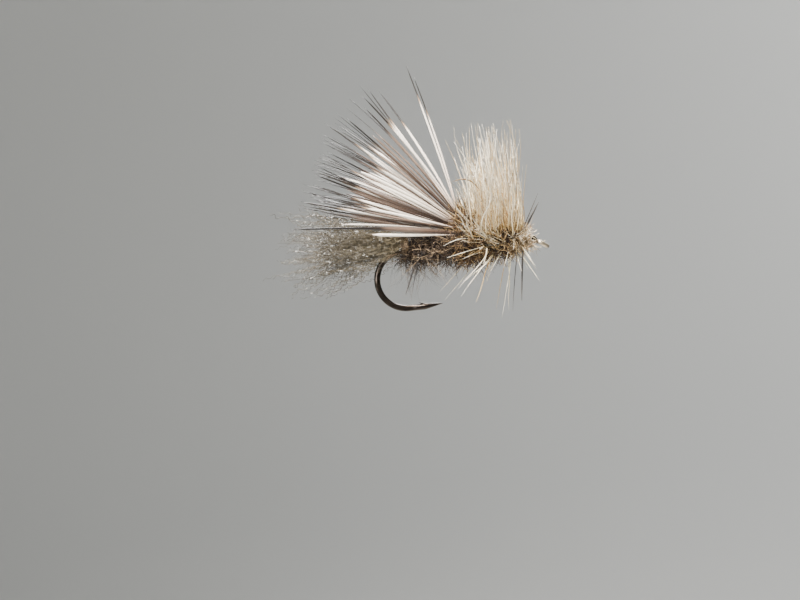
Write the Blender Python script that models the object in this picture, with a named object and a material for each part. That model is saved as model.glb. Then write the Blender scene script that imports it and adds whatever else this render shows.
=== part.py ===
"""Trailing-shuck caddis dry fly on a size 12 light-wire hook, as a kit of separate tied-in parts.

Frame: metres, origin on the wire's centreline at the middle of the lower half of the hook bend, where
a tying vise grips it. +X runs forward along the shank to the eye and +Z up, to the wing side. The hook
lies in the plane y = 0 with its point below the shank.
"""

import math

import bmesh
import bpy
from mathutils import Vector

MM = 0.001

# Hook: round wire, turned-down ring eye, straight shank, half-round bend with forged sides, barbed point.
WIRE_RADIUS = 0.25 * MM
EYE_WIRE_RADIUS = 0.17 * MM
EYE_RADIUS = 0.53 * MM
EYE_DROP = math.radians(35)
NECK_LENGTH = 0.9 * MM
SHANK_LENGTH = 10.35 * MM
BEND_RADIUS = 2.3 * MM
POINT_LENGTH = 2.75 * MM
POINT_TAPER_LENGTH = 1.5 * MM
FORGED_THICKNESS = 0.36 * MM
BARB_LENGTH = 0.55 * MM
BARB_HEIGHT = 0.13 * MM

# The origin is 45 degrees round the lower half of the bend, which places the rest of the hook.
BEND_X = BEND_RADIUS * math.cos(math.radians(45))
BEND_Z = BEND_RADIUS * math.sin(math.radians(45))
SHANK_Z = BEND_Z + BEND_RADIUS
SHANK_FRONT_X = BEND_X + SHANK_LENGTH
ARM_Z = BEND_Z - BEND_RADIUS

# Tying thread and the clearance left between neighbours.
THREAD_RADIUS = 0.045 * MM
GAP = 0.02 * MM
BASE_RADIUS = WIRE_RADIUS + 2 * THREAD_RADIUS + 2 * GAP

# Stations along the shank: how far each piece's ends are from the start of the bend.
SHUCK_TIE = (0.0 * MM, 0.45 * MM)
ABDOMEN = (0.52 * MM, 4.1 * MM)
THORAX = (4.15 * MM, 5.95 * MM)
WING_TIE = (4.45 * MM, 5.4 * MM)
HACKLE = (6.18 * MM, 8.36 * MM)
HEAD_DUBBING = (8.56 * MM, 9.7 * MM)
HEAD_WRAPS = (9.78 * MM, 10.2 * MM)

# Hair, yarn and the rope that holds the hackle.
WING_BUNDLE_RISE = 1.2 * MM
WING_LOCK_PITCH = 0.225 * MM
WING_LENGTH = 13.6 * MM
WING_ROWS = (3, 4, 5, 4, 3)
SHUCK_LENGTH = 9.3 * MM
HACKLE_ROPE_RADIUS = 0.17 * MM


def clear_scene():
    for obj in list(bpy.data.objects):
        bpy.data.objects.remove(obj, do_unlink=True)


def material(name, colour, roughness, metallic=0.0):
    made = bpy.data.materials.new(name)
    made.use_nodes = True
    shader = made.node_tree.nodes["Principled BSDF"]
    shader.inputs["Base Color"].default_value = (*colour, 1.0)
    shader.inputs["Roughness"].default_value = roughness
    shader.inputs["Metallic"].default_value = metallic
    made.diffuse_color = (*colour, 1.0)
    return made


def smooth(t):
    """Eases from 0 to 1 as t goes from 0 to 1."""
    t = min(max(t, 0.0), 1.0)
    return t * t * (3 - 2 * t)


def between(pair, share):
    return pair[0] + (pair[1] - pair[0]) * share


def station(pair, share=0.0):
    """The x of a place along the shank."""
    return BEND_X + between(pair, share)


def spread(count):
    """count values from 0 to 1, evenly spaced."""
    return [i / (count - 1) for i in range(count)]


def tube(name, points, radii, look, bevel_resolution=1):
    """A closed solid of round section along points, its origin at its first point."""
    curve = bpy.data.curves.new(name, "CURVE")
    curve.dimensions = "3D"
    curve.bevel_depth = max(radii)
    curve.bevel_resolution = bevel_resolution
    curve.use_fill_caps = True
    spline = curve.splines.new("POLY")
    spline.points.add(len(points) - 1)
    root = points[0].copy()
    for knot, point, radius in zip(spline.points, points, radii):
        knot.co = (*(point - root), 1.0)
        knot.radius = radius / curve.bevel_depth
    curve.materials.append(look)
    obj = bpy.data.objects.new(name, curve)
    obj.location = root
    bpy.context.scene.collection.objects.link(obj)
    return obj


def mesh_object(name, bm, look):
    bmesh.ops.recalc_face_normals(bm, faces=bm.faces)
    mesh = bpy.data.meshes.new(name)
    bm.to_mesh(mesh)
    bm.free()
    mesh.shade_smooth()
    mesh.set_sharp_from_angle(angle=math.radians(50))
    mesh.materials.append(look)
    obj = bpy.data.objects.new(name, mesh)
    bpy.context.scene.collection.objects.link(obj)
    return obj


def box_cutter(name, low, high):
    bm = bmesh.new()
    bmesh.ops.create_cube(bm, size=1.0)
    bmesh.ops.scale(bm, vec=high - low, verts=bm.verts)
    bmesh.ops.translate(bm, vec=(low + high) / 2, verts=bm.verts)
    cutter = mesh_object(name, bm, None)
    hide(cutter)
    return cutter


def hide(obj):
    obj.hide_render = True
    obj.display_type = "WIRE"


def combine(obj, other, operation):
    modifier = obj.modifiers.new(other.name, "BOOLEAN")
    modifier.operation = operation
    modifier.solver = "EXACT"
    modifier.object = other


# ---------------------------------------------------------------- hook


def eye_point(turn, radius=EYE_RADIUS):
    """A point on the eye ring; turn 0 is where the neck meets it, and it runs round by +Y."""
    forward = Vector((math.cos(EYE_DROP), 0, -math.sin(EYE_DROP)))
    side = Vector((0, 1, 0))
    centre = Vector((SHANK_FRONT_X, 0, SHANK_Z)) + forward * NECK_LENGTH
    return centre - forward * (radius * math.cos(turn)) + side * (radius * math.sin(turn))


def eye_path():
    """The ring and neck: from the ring's free end round to the start of the shank, as (point, radius)."""
    ring_points = 13
    free_end, joined_end = math.radians(325), math.radians(58)
    path = []
    for share in spread(ring_points):
        path.append((eye_point(between((free_end, joined_end), share)), EYE_WIRE_RADIUS))
    neck = eye_point(0, EYE_RADIUS + 0.16 * MM)
    path.append((eye_point(math.radians(30)).lerp(neck, 0.55), EYE_WIRE_RADIUS))
    path.append((neck, EYE_WIRE_RADIUS * 1.1))
    corner = Vector((SHANK_FRONT_X, 0, SHANK_Z))
    corner_cut = 0.1 * MM
    path.append((corner.lerp(neck, corner_cut / (corner - neck).length), WIRE_RADIUS * 0.86))
    path.append((corner + Vector((-corner_cut, 0, 0)), WIRE_RADIUS))
    return path


def bend_path():
    """The half-round bend from the shank's rear end down to the lower arm, as (point, radius)."""
    steps = 18
    path = []
    for share in spread(steps + 1):
        angle = math.pi * share
        x = BEND_X - BEND_RADIUS * math.sin(angle)
        z = BEND_Z + BEND_RADIUS * math.cos(angle)
        path.append((Vector((x, 0, z)), WIRE_RADIUS))
    return path


def point_path():
    """The lower arm and its ground taper, which rises slightly to the tip, as (point, radius)."""
    straight = POINT_LENGTH - POINT_TAPER_LENGTH
    path = [(Vector((BEND_X + straight, 0, ARM_Z)), WIRE_RADIUS * 0.92)]
    for share in (0.35, 0.7, 1.0):
        x = BEND_X + straight + POINT_TAPER_LENGTH * share
        path.append((Vector((x, 0, ARM_Z + 0.12 * MM * share)), WIRE_RADIUS * (0.92 - 0.86 * share)))
    return path


def barb():
    """A sliver raised off the inner side of the point, its free end towards the bend."""
    bm = bmesh.new()
    bmesh.ops.create_cone(
        bm, cap_ends=True, segments=6, radius1=BARB_HEIGHT * 0.7, radius2=0.01 * MM, depth=BARB_LENGTH
    )
    sliver = mesh_object("barb_union", bm, None)
    sliver.rotation_euler = (0, math.radians(97), 0)
    taper_start = BEND_X + POINT_LENGTH - POINT_TAPER_LENGTH
    sliver.location = (taper_start - BARB_LENGTH * 0.2, 0, ARM_Z + WIRE_RADIUS * 0.86)
    hide(sliver)
    return sliver


def forging_cut(name, side):
    """The block that flattens one side of the lower half of the bend."""
    reach = BEND_RADIUS + WIRE_RADIUS + GAP
    faces = sorted((side * FORGED_THICKNESS / 2, side * MM))
    low = Vector((BEND_X - reach, faces[0], BEND_Z - reach))
    high = Vector((BEND_X + 0.5 * MM, faces[1], BEND_Z - 0.2 * MM))
    return box_cutter(name, low, high)


def build_hook(look):
    """Swept wire, its bend forged flat on both sides and its barb joined on."""
    points, radii = zip(*(eye_path() + bend_path() + point_path()))
    swept = tube("hook_wire", points, radii, look, bevel_resolution=3)
    bm = bmesh.new()
    bm.from_mesh(bpy.data.meshes.new_from_object(swept))
    bmesh.ops.remove_doubles(bm, verts=bm.verts, dist=1e-7)
    hook = mesh_object("hook", bm, look)
    hook.location = swept.location
    bpy.data.objects.remove(swept)
    combine(hook, forging_cut("forging_cut_left", 1), "DIFFERENCE")
    combine(hook, forging_cut("forging_cut_right", -1), "DIFFERENCE")
    combine(hook, barb(), "UNION")
    return hook


# ---------------------------------------------------------------- thread


def wrap(name, span, turns, half_width, half_height, rise, thread_radius, look, points_per_turn=10):
    """A strand wound round the shank in open turns of oval section, centred rise above the shank.

    The half sizes are those of the space that the strand encloses.
    """
    # The strand is straight between its points, so they stand out to keep the enclosed space clear.
    stand_out = 1 / math.cos(math.pi / points_per_turn)
    points = []
    for share in spread(int(turns * points_per_turn) + 1):
        angle = 2 * math.pi * turns * share
        y = (half_width + thread_radius) * stand_out * math.sin(angle)
        z = SHANK_Z + rise + (half_height + thread_radius) * stand_out * math.cos(angle)
        points.append(Vector((station(span, share), y, z)))
    return tube(name, points, [thread_radius] * len(points), look, bevel_resolution=0)


def build_thread(look):
    """The one strand of tying thread, as the four windings that it makes from the bend to the head."""
    shank = WIRE_RADIUS + GAP
    wrap("thread_base_layer", (SHUCK_TIE[0], WING_TIE[1]), 12, shank, shank, 0, THREAD_RADIUS, look)
    wrap("thread_head_whip_finish", HEAD_WRAPS, 4, shank, shank, 0, THREAD_RADIUS, look)
    wrap("thread_shuck_wraps", SHUCK_TIE, 4, 0.58 * MM, 0.68 * MM, 0.28 * MM, THREAD_RADIUS, look)
    wrap("thread_wing_wraps", WING_TIE, 5, 0.62 * MM, 1.1 * MM, 0.71 * MM, THREAD_RADIUS * 1.3, look)


# ---------------------------------------------------------------- dubbing


def turned(name, outline, look, steps=16, stretch_z=1.0, rise=0.0):
    """A solid of revolution round a line along the shank; outline is a closed list of (x, radius)."""
    bm = bmesh.new()
    ring = [bm.verts.new((x, 0, radius)) for x, radius in outline]
    edges = [bm.edges.new(pair) for pair in zip(ring, ring[1:] + ring[:1])]
    bmesh.ops.spin(
        bm, geom=ring + edges, cent=(0, 0, 0), axis=(1, 0, 0), angle=2 * math.pi, steps=steps, use_merge=True
    )
    bmesh.ops.scale(bm, vec=(1, 1, stretch_z), verts=bm.verts)
    obj = mesh_object(name, bm, look)
    obj.location = (0, 0, SHANK_Z + rise)
    return obj


def noodle_outline(span, turns, radius, bore, groove):
    """The outer line of a dubbing noodle wound in close turns, closed along a bore."""
    outer = []
    for i, share in enumerate(spread(2 * turns + 1)):
        ridge = radius(share) - (groove if i % 2 == 0 else 0.0)
        outer.append((station(span, share), ridge))
    return outer + [(station(span, 1.0), bore), (station(span), bore)]


def build_dubbing(body_look, thorax_look, head_look):
    """Fur wound round the shank: the abdomen, the thorax over the wing's tie-in, and the head."""

    def abdomen_radius(share):
        return (0.5 + 0.36 * smooth(share * 3) - 0.3 * smooth(share * 3 - 1.8)) * MM

    def thorax_radius(share):
        return (1.24 + 0.3 * math.sin(math.pi * share)) * MM

    def head_radius(share):
        return (1.22 - 0.62 * share) * MM

    bore = BASE_RADIUS + GAP
    turned("abdomen_dubbing", noodle_outline(ABDOMEN, 8, abdomen_radius, bore, 0.09 * MM), body_look)
    turned(
        "thorax_dubbing", noodle_outline(THORAX, 4, thorax_radius, 0.84 * MM, 0.12 * MM), thorax_look,
        steps=18, stretch_z=1.54, rise=0.71 * MM,
    )
    turned("head_dubbing", noodle_outline(HEAD_DUBBING, 3, head_radius, bore, 0.08 * MM), head_look)


def build_head_cement(look):
    """A thin film of varnish over the whip finish."""
    inner = BASE_RADIUS + 2 * GAP
    film = 0.06 * MM
    rear, front = (station(HEAD_WRAPS, share) for share in (0.02, 0.98))
    middle = (front + rear) / 2
    outline = [
        (front, inner), (front, inner + film * 0.6), (middle, inner + film * 1.5),
        (rear, inner + film), (rear, inner),
    ]
    turned("head_cement", outline, look, steps=14)


# ---------------------------------------------------------------- hair and yarn


def read_at(values, share):
    """Reads a list of evenly spaced values at a share from 0 to 1 of its length."""
    place = share * (len(values) - 1)
    index = min(int(place), len(values) - 2)
    return between((values[index], values[index + 1]), place - index)


def direction(elevation, side):
    """A unit direction to the rear, raised by elevation and swung to +Y by side."""
    level = math.cos(elevation) * math.cos(side)
    return Vector((-level, math.sin(side), math.sin(elevation) * math.cos(side)))


def lock(name, root, start_way, end_way, length, radii, look, knots, lead=0.0, turn_by=0.3):
    """A tapered lock of fibres, which runs along start_way for lead and then turns to end_way."""
    points = [root.copy()]
    if lead:
        points.append(root + start_way * lead)
    step = length / (knots - 1)
    for share in spread(knots)[1:]:
        aim = start_way.lerp(end_way, smooth(share / turn_by)).normalized()
        points.append(points[-1] + aim * step)
    sizes = [read_at(radii, share) for share in spread(len(points))]
    return tube(name, points, sizes, look)


def build_wing(look):
    """Locks of deer hair: packed in rows under the wraps, flared into a fan behind them."""
    radii = [size * MM for size in (0.1, 0.1, 0.17, 0.24, 0.26, 0.24, 0.18, 0.12, 0.04)]
    low_fan, high_fan, top_fan = (math.radians(angle) for angle in (14, 62, 79))
    rise = WING_LOCK_PITCH * math.sqrt(3) / 2
    front = station(WING_TIE, 0.75)
    lead = (WING_TIE[1] - WING_TIE[0]) * 0.75 + 0.15 * MM
    number = 0
    for row, columns in enumerate(WING_ROWS):
        level = row - (len(WING_ROWS) - 1) / 2
        for column in range(columns):
            across = column - (columns - 1) / 2
            number += 1
            stagger = math.radians(3) * math.sin(2.4 * number)
            elevation = between((low_fan, high_fan), row / (len(WING_ROWS) - 1)) + stagger
            if row == len(WING_ROWS) - 1 and across == 0:
                elevation = top_fan
            side = math.radians(10.5) * across
            root = Vector((front, across * WING_LOCK_PITCH, SHANK_Z + WING_BUNDLE_RISE + level * rise))
            reach = WING_LENGTH * (1 + 0.03 * math.sin(5.1 * number))
            lock(
                f"wing_hair_lock_{number:02d}", root, direction(0, 0), direction(elevation, side), reach,
                radii, look, knots=10, lead=lead,
            )


def build_shuck(look):
    """Locks of crinkled yarn that trail from the bend: two above, two level and two beside the wire."""
    radii = [size * MM for size in (0.1, 0.1, 0.22, 0.42, 0.55, 0.52, 0.35, 0.1)]
    rows = (
        ("upper", 6, 0.13 * MM, 9, 0.80 * MM),
        ("middle", -5, 0.14 * MM, 9, 0.52 * MM),
        ("lower", -17, 0.44 * MM, 12, 0.16 * MM),
    )
    for level, elevation, offset, swing, rise in rows:
        for side, hand in ((1, "left"), (-1, "right")):
            root = Vector((station(SHUCK_TIE, 0.8), side * offset, SHANK_Z + rise))
            aim = direction(math.radians(elevation), math.radians(swing) * side)
            lock(
                f"shuck_{level}_{hand}", root, direction(0, 0), aim, SHUCK_LENGTH, radii, look, knots=8,
                lead=0.5 * MM, turn_by=0.25,
            )


def hackle_lock(number, share, angle, lean, reach, radii, look):
    """One lock that stands out from the rope at angle from the top, leaning forward by lean."""
    outside = BASE_RADIUS + 2 * HACKLE_ROPE_RADIUS + 4 * GAP
    outward = Vector((0, math.sin(math.radians(angle)), math.cos(math.radians(angle))))
    lean = math.radians(lean)
    aim = outward * math.cos(lean) + Vector((math.sin(lean), 0, 0))
    root = Vector((station(HACKLE, share), 0, SHANK_Z)) + outward * (outside + radii[0])
    lock(f"hackle_lock_{number:02d}", root, aim, aim, reach, radii, look, knots=6)


def build_hackle(hair_look, thread_look):
    """A twisted loop of hair wound in open turns: a dense fan above, a few hairs beside and below."""
    seat = BASE_RADIUS + GAP
    wrap("hackle_loop_rope", HACKLE, 4, seat, seat, 0, HACKLE_ROPE_RADIUS, thread_look, points_per_turn=12)
    full = [size * MM for size in (0.13, 0.27, 0.42, 0.44, 0.3, 0.06)]
    sparse = [size * MM for size in (0.08, 0.14, 0.16, 0.12, 0.04)]
    standing = ((-52, -17, 17, 52), (-35, 0, 35))
    number = 0
    for row in range(4):
        share = (row + 0.5) / 4
        for angle in standing[row % 2]:
            number += 1
            reach = (9.2 + 0.35 * math.sin(3.7 * number)) * MM
            hackle_lock(number, share, angle, 11 * share - 5, reach, full, hair_look)
    for share, angle, lean, reach, radii in (
        (0.4, -84, -4, 6.2, full), (0.4, 84, -4, 6.2, full), (0.1, 165, -43, 5.2, sparse),
        (0.4, -155, -24, 4.6, sparse), (0.75, 170, -11, 6.0, sparse), (0.95, -165, 24, 4.4, sparse),
    ):
        number += 1
        hackle_lock(number, share, angle, lean, reach * MM, radii, hair_look)


def build_guard_hairs(look):
    """Single stiff dark hairs: one over the head, one beneath the abdomen, one by the hackle."""
    slim = [size * MM for size in (0.045, 0.05, 0.04, 0.02)]
    for name, along, across, rise, elevation, swing, length in (
        ("guard_hair_head", 9.85, 0.25, 0.62, 122, 3, 2.5),
        ("guard_hair_belly", 0.85, -0.3, -0.98, -69, -3, 2.7),
        ("guard_hair_throat", 9.5, -0.2, -0.85, -83, -4, 4.1),
    ):
        root = Vector((BEND_X + along * MM, across * MM, SHANK_Z + rise * MM))
        aim = direction(math.radians(elevation), math.radians(swing))
        lock(name, root, aim, aim, length * MM, slim, look, knots=6)


def main():
    clear_scene()
    steel = material("bronzed_steel", (0.035, 0.03, 0.028), 0.35, 1.0)
    thread = material("waxed_thread", (0.24, 0.17, 0.11), 0.6)
    body_fur = material("body_fur", (0.13, 0.10, 0.075), 0.9)
    thorax_fur = material("thorax_fur", (0.27, 0.19, 0.12), 0.9)
    head_fur = material("head_fur", (0.55, 0.43, 0.29), 0.9)
    deer_hair = material("deer_hair", (0.62, 0.54, 0.47), 0.5)
    hackle_hair = material("hackle_hair", (0.74, 0.66, 0.5), 0.5)
    yarn = material("shuck_yarn", (0.33, 0.31, 0.25), 0.45)
    guard = material("guard_hair", (0.06, 0.055, 0.05), 0.4)
    varnish = material("head_varnish", (0.35, 0.24, 0.12), 0.12)

    build_hook(steel)
    build_thread(thread)
    build_dubbing(body_fur, thorax_fur, head_fur)
    build_head_cement(varnish)
    build_wing(deer_hair)
    build_shuck(yarn)
    build_hackle(hackle_hair, thread)
    build_guard_hairs(guard)


main()
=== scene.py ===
"""Looks of the dry fly: hair by hair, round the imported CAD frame.

Same frame as the CAD: metres, +X forward along the shank to the eye, +Z up to the wing side, the
origin in the lower half of the hook's bend. Lengths are written in millimetres times MM.
"""

import math
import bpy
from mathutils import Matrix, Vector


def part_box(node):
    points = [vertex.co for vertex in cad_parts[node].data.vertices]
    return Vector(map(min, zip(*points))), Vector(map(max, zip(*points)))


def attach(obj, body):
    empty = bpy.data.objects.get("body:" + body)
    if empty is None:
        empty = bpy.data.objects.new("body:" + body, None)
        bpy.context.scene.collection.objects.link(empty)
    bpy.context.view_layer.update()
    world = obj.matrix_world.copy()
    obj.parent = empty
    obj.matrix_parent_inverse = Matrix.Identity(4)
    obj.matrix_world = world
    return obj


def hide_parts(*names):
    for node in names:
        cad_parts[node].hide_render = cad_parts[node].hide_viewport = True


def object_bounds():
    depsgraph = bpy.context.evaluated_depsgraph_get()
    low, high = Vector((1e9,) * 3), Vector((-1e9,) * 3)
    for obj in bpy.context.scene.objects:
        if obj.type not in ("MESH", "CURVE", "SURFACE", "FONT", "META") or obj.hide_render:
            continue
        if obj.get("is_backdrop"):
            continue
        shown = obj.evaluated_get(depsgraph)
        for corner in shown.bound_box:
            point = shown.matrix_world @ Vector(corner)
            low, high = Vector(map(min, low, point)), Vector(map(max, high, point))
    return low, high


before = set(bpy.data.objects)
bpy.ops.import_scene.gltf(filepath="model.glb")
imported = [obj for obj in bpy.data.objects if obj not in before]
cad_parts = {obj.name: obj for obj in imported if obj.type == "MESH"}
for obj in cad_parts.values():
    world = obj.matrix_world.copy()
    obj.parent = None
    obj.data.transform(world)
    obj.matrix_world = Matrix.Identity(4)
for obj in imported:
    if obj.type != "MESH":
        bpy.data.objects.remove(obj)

import zlib
from dataclasses import dataclass

import bpy
import numpy as np
from mathutils import Matrix, Vector

CAD_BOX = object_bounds()
MM = 0.001

# The camera's picture: the hook leans nose-up by ROLL, and one pixel is PIXEL wide at the hook.
ROLL = math.radians(6)
ELEVATION = math.radians(3)
PIXEL = 0.08 * MM
PICTURE_WIDTH = 800
CAMERA_DISTANCE = 0.24
AIM = Vector((0.98 * MM, 0, 0.05 * MM))


def span(node):
    """The x where a CAD node starts and ends, from the bend side to the eye side."""
    low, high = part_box(node)
    return np.array([low[0], high[0]])


def height_of(node):
    low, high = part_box(node)
    return (low[2] + high[2]) / 2


def reach_of(node):
    """Half the width and half the height of a CAD node."""
    low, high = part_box(node)
    return (high[1] - low[1]) / 2, (high[2] - low[2]) / 2


# Hook places that the CAD boxes give, and the wire's own sizes, which repeat the CAD's.
SHANK_Z = height_of("head_cement")
WIRE_RADIUS = 0.25 * MM
THREAD_RADIUS = 0.045 * MM
BEND_RADIUS = SHANK_Z / (1 + math.sqrt(0.5))
BEND_X = BEND_RADIUS * math.sqrt(0.5)
BEND_Z = BEND_X
ARM_Z = BEND_Z - BEND_RADIUS
FORGED_HALF = 0.18 * MM
POINT_LENGTH = 2.75 * MM
POINT_TAPER = 1.5 * MM
SHANK_FRONT_X = BEND_X + 10.35 * MM
EYE_DROP = math.radians(35)
EYE_RADIUS = 0.53 * MM
EYE_WIRE = 0.17 * MM
NECK_LENGTH = 0.9 * MM
# How far along the hook's points, from the eye's free end, the painted highlight of the eye reaches.
EYE_SHARE = 0.2

SHUCK_TIE = span("thread_shuck_wraps")
ABDOMEN = span("abdomen_dubbing")
WING_TIE = span("thread_wing_wraps")
THORAX = span("thorax_dubbing")
HACKLE = span("hackle_loop_rope")
HEAD = span("head_dubbing")
WING_Z = SHANK_Z + 1.2 * MM

# Strands whose shade is under this are the dark, dull ones.
DULL_SHARE = 0.42
# The phases of waves run from 0 to this, about a full turn in radians.
PHASES = 6.3


# -------- numbers and directions


def seeded(name):
    """Each piece has its own random numbers, so that one can change without the others."""
    return np.random.default_rng(zlib.crc32(name.encode()))


def ease(t):
    t = np.clip(t, 0.0, 1.0)
    return t * t * (3 - 2 * t)


def unit(v):
    return v / np.maximum(np.linalg.norm(v, axis=-1, keepdims=True), 1e-12)


def mix(a, b, share):
    return a + (b - a) * share


def xyz(x, y, z):
    """Points or directions from their coordinates, any of which may be a single number."""
    return np.stack(np.broadcast_arrays(x, y, z), axis=-1)


def rearward(elevation, side):
    """Unit directions to the rear, raised by elevation and swung to +Y by side, all in radians."""
    return xyz(-np.cos(elevation) * np.cos(side), np.sin(side), np.sin(elevation) * np.cos(side))


def outward(angle, lean=0.0):
    """Unit directions out of the shank, angle from the top towards +Y, leaning forward by lean."""
    return xyz(np.sin(lean), np.sin(angle) * np.cos(lean), np.cos(angle) * np.cos(lean))


def any_direction(rng, count):
    return unit(rng.normal(size=(count, 3)))


# -------- strands


def walk(roots, headings, lengths):
    """Paths that start at roots and follow headings (strands, steps, 3) for lengths."""
    steps = headings.shape[1]
    moves = unit(headings[:, :-1] + headings[:, 1:]) * (lengths[:, None, None] / (steps - 1))
    return np.concatenate((roots[:, None], roots[:, None] + np.cumsum(moves, axis=1)), axis=1)


def grow(roots, start, end, lengths, steps, turn_by=0.25, bow=None, waves=()):
    """Paths that leave roots along start and turn to end, bowed by bow and shaken by waves.

    waves holds (direction, size, turns over the length, phase) with one row a strand.
    """
    t = np.linspace(0, 1, steps)[None, :, None]
    headings = start[:, None] + (end - start)[:, None] * ease(t / turn_by)
    if bow is not None:
        headings = headings + bow[:, None] * (t - 0.3)
    for direction, size, turns, phase in waves:
        swing = np.sin(math.tau * turns[:, None, None] * t + phase[:, None, None])
        headings = headings + direction[:, None] * size[:, None, None] * swing
    return walk(roots, unit(headings), lengths)


def wave(rng, count, sizes, turns):
    """A wave for grow, drawn at random for each strand between the lowest and highest values."""
    direction = any_direction(rng, count)
    return direction, rng.uniform(*sizes, count), rng.uniform(*turns, count), rng.uniform(0, PHASES, count)


def rings(paths, radii, sides):
    """Ring points round each path, with frames carried along it without twist."""
    tangents = unit(np.gradient(paths, axis=1))
    helper = np.where(np.abs(tangents[:, 0, 1:2]) < 0.9, [[0.0, 1.0, 0.0]], [[1.0, 0.0, 0.0]])
    normals = np.empty_like(paths)
    normals[:, 0] = unit(np.cross(tangents[:, 0], helper))
    for i in range(1, paths.shape[1]):
        carried = normals[:, i - 1]
        along = np.sum(carried * tangents[:, i], axis=-1, keepdims=True)
        normals[:, i] = unit(carried - along * tangents[:, i])
    binormals = np.cross(tangents, normals)
    turn = np.linspace(0, math.tau, sides, endpoint=False)
    around = (
        normals[:, :, None] * np.cos(turn)[None, None, :, None]
        + binormals[:, :, None] * np.sin(turn)[None, None, :, None]
    )
    return paths[:, :, None] + around * radii[:, :, None, None]


def strand_faces(strands, steps, sides):
    """Quads of the walls, then the two end caps of each strand."""
    s, i, j = np.meshgrid(np.arange(strands), np.arange(steps - 1), np.arange(sides), indexing="ij")
    across = (j + 1) % sides
    near = (s * steps + i) * sides
    far = near + sides
    quads = np.stack((near + j, near + across, far + across, far + j), axis=-1).reshape(-1, 4)
    first = np.arange(strands)[:, None] * steps * sides
    roots = first + np.arange(sides)[::-1]
    tips = first + (steps - 1) * sides + np.arange(sides)
    return quads, roots, tips


def strip_map(strands, steps, sides):
    """UVs that lay each strand in a narrow strip of its own, so that no two share a colour."""
    rows = max(1, round(math.sqrt(strands / 8)))
    columns = math.ceil(strands / rows)
    strand = np.arange(strands)
    left, low = (strand % columns) / columns, (strand // columns) / rows
    inset = 0.12  # the empty margin, as a share of a strip
    s, i, j = np.meshgrid(strand, np.arange(steps - 1), np.arange(sides), indexing="ij")

    def at(ring, side):
        u = left[s] + mix(inset, 1 - inset, side / sides) / columns
        v = low[s] + mix(inset, 1 - inset, ring / (steps - 1)) / rows
        return np.stack((u, v), axis=-1)

    walls = np.stack((at(i, j), at(i, j + 1), at(i + 1, j + 1), at(i + 1, j)), axis=-2).reshape(-1, 2)
    ends = []
    for share in (inset, 1 - inset):
        u = np.repeat((left + 0.5 / columns)[:, None], sides, axis=1)
        v = np.repeat((low + share / rows)[:, None], sides, axis=1)
        ends.append(np.stack((u, v), axis=-1).reshape(-1, 2))
    return np.concatenate((walls, *ends))


@dataclass
class Strands:
    """Strands with the same number of steps: paths (strands, steps, 3) and radii (strands, steps).

    colours_to says how far along its colours each strand gets by its tip. shades holds one value
    from 0 to 1 a strand, and is drawn at random where it isn't given.
    """

    paths: np.ndarray
    radii: np.ndarray
    sides: int
    colours_to: np.ndarray | float = 1.0
    shades: np.ndarray | None = None


def strand_mesh(name, groups, look):
    """One mesh of several Strands; its points hold along, the place in the colours, and strand."""
    rng = seeded(name + " shades")
    points, faces, uvs, along, shade = [], [], [], [], []
    offset = 0
    total = sum(len(group.paths) for group in groups)
    placed = 0
    for group in groups:
        strands, steps = group.paths.shape[:2]
        sides = group.sides
        points.append(rings(group.paths, group.radii, sides).reshape(-1, 3))
        quads, roots, tips = strand_faces(strands, steps, sides)
        faces += (quads + offset).tolist() + (roots + offset).tolist() + (tips + offset).tolist()
        strips = strip_map(strands, steps, sides)
        strips[:, 0] = (placed + strips[:, 0] * strands) / total
        uvs.append(strips)
        reached = np.broadcast_to(group.colours_to, strands)
        along.append(np.repeat(reached[:, None] * np.linspace(0, 1, steps), sides, axis=1).ravel())
        drawn = rng.random(strands)
        shade.append(np.repeat(drawn if group.shades is None else group.shades, steps * sides))
        offset += strands * steps * sides
        placed += strands
    mesh = bpy.data.meshes.new(name)
    mesh.from_pydata(np.concatenate(points).tolist(), [], faces)
    for key, values in (("along", along), ("strand", shade)):
        mesh.attributes.new(key, "FLOAT", "POINT").data.foreach_set("value", np.concatenate(values))
    # The UV map of this name holds each strand in a strip of its own.
    layer = mesh.uv_layers.new(name="OFBake")
    layer.data.foreach_set("uv", np.concatenate(uvs).astype(np.float32).ravel())
    mesh.shade_smooth()
    mesh.materials.append(look)
    return link(name, mesh)


def link(name, mesh):
    obj = bpy.data.objects.new(name, mesh)
    bpy.context.scene.collection.objects.link(obj)
    return obj


def add_piece(name, groups, look, node):
    """A piece of strands on the one body, which stands for a CAD node or for a share of it."""
    obj = strand_mesh(name, groups, look)
    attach(obj, "root")
    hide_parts(node)
    return obj


def taper(steps, *sizes):
    """Radii along a strand, read from evenly spaced sizes in millimetres."""
    return np.interp(np.linspace(0, 1, steps), np.linspace(0, 1, len(sizes)), sizes) * MM


# -------- materials


def new_material(name):
    made = bpy.data.materials.new(name)
    made.use_nodes = True
    return made, made.node_tree, made.node_tree.nodes["Principled BSDF"]


def srgb(*values):
    """Linear colour from 0 to 255 values."""
    share = np.array(values) / 255
    linear = np.where(share <= 0.04045, share / 12.92, ((share + 0.055) / 1.055) ** 2.4)
    return (*linear.tolist(), 1.0)


def ramp(tree, source, stops):
    """A colour ramp over source with (place, colour) stops."""
    node = tree.nodes.new("ShaderNodeValToRGB")
    elements = node.color_ramp.elements
    while len(elements) < len(stops):
        elements.new(0.5)
    for element, (place, colour) in zip(elements, stops):
        element.position = place
        element.color = colour
    tree.links.new(source, node.inputs["Fac"])
    return node.outputs["Color"]


def attribute(tree, name):
    node = tree.nodes.new("ShaderNodeAttribute")
    node.attribute_name = name
    return node.outputs["Fac"]


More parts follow.
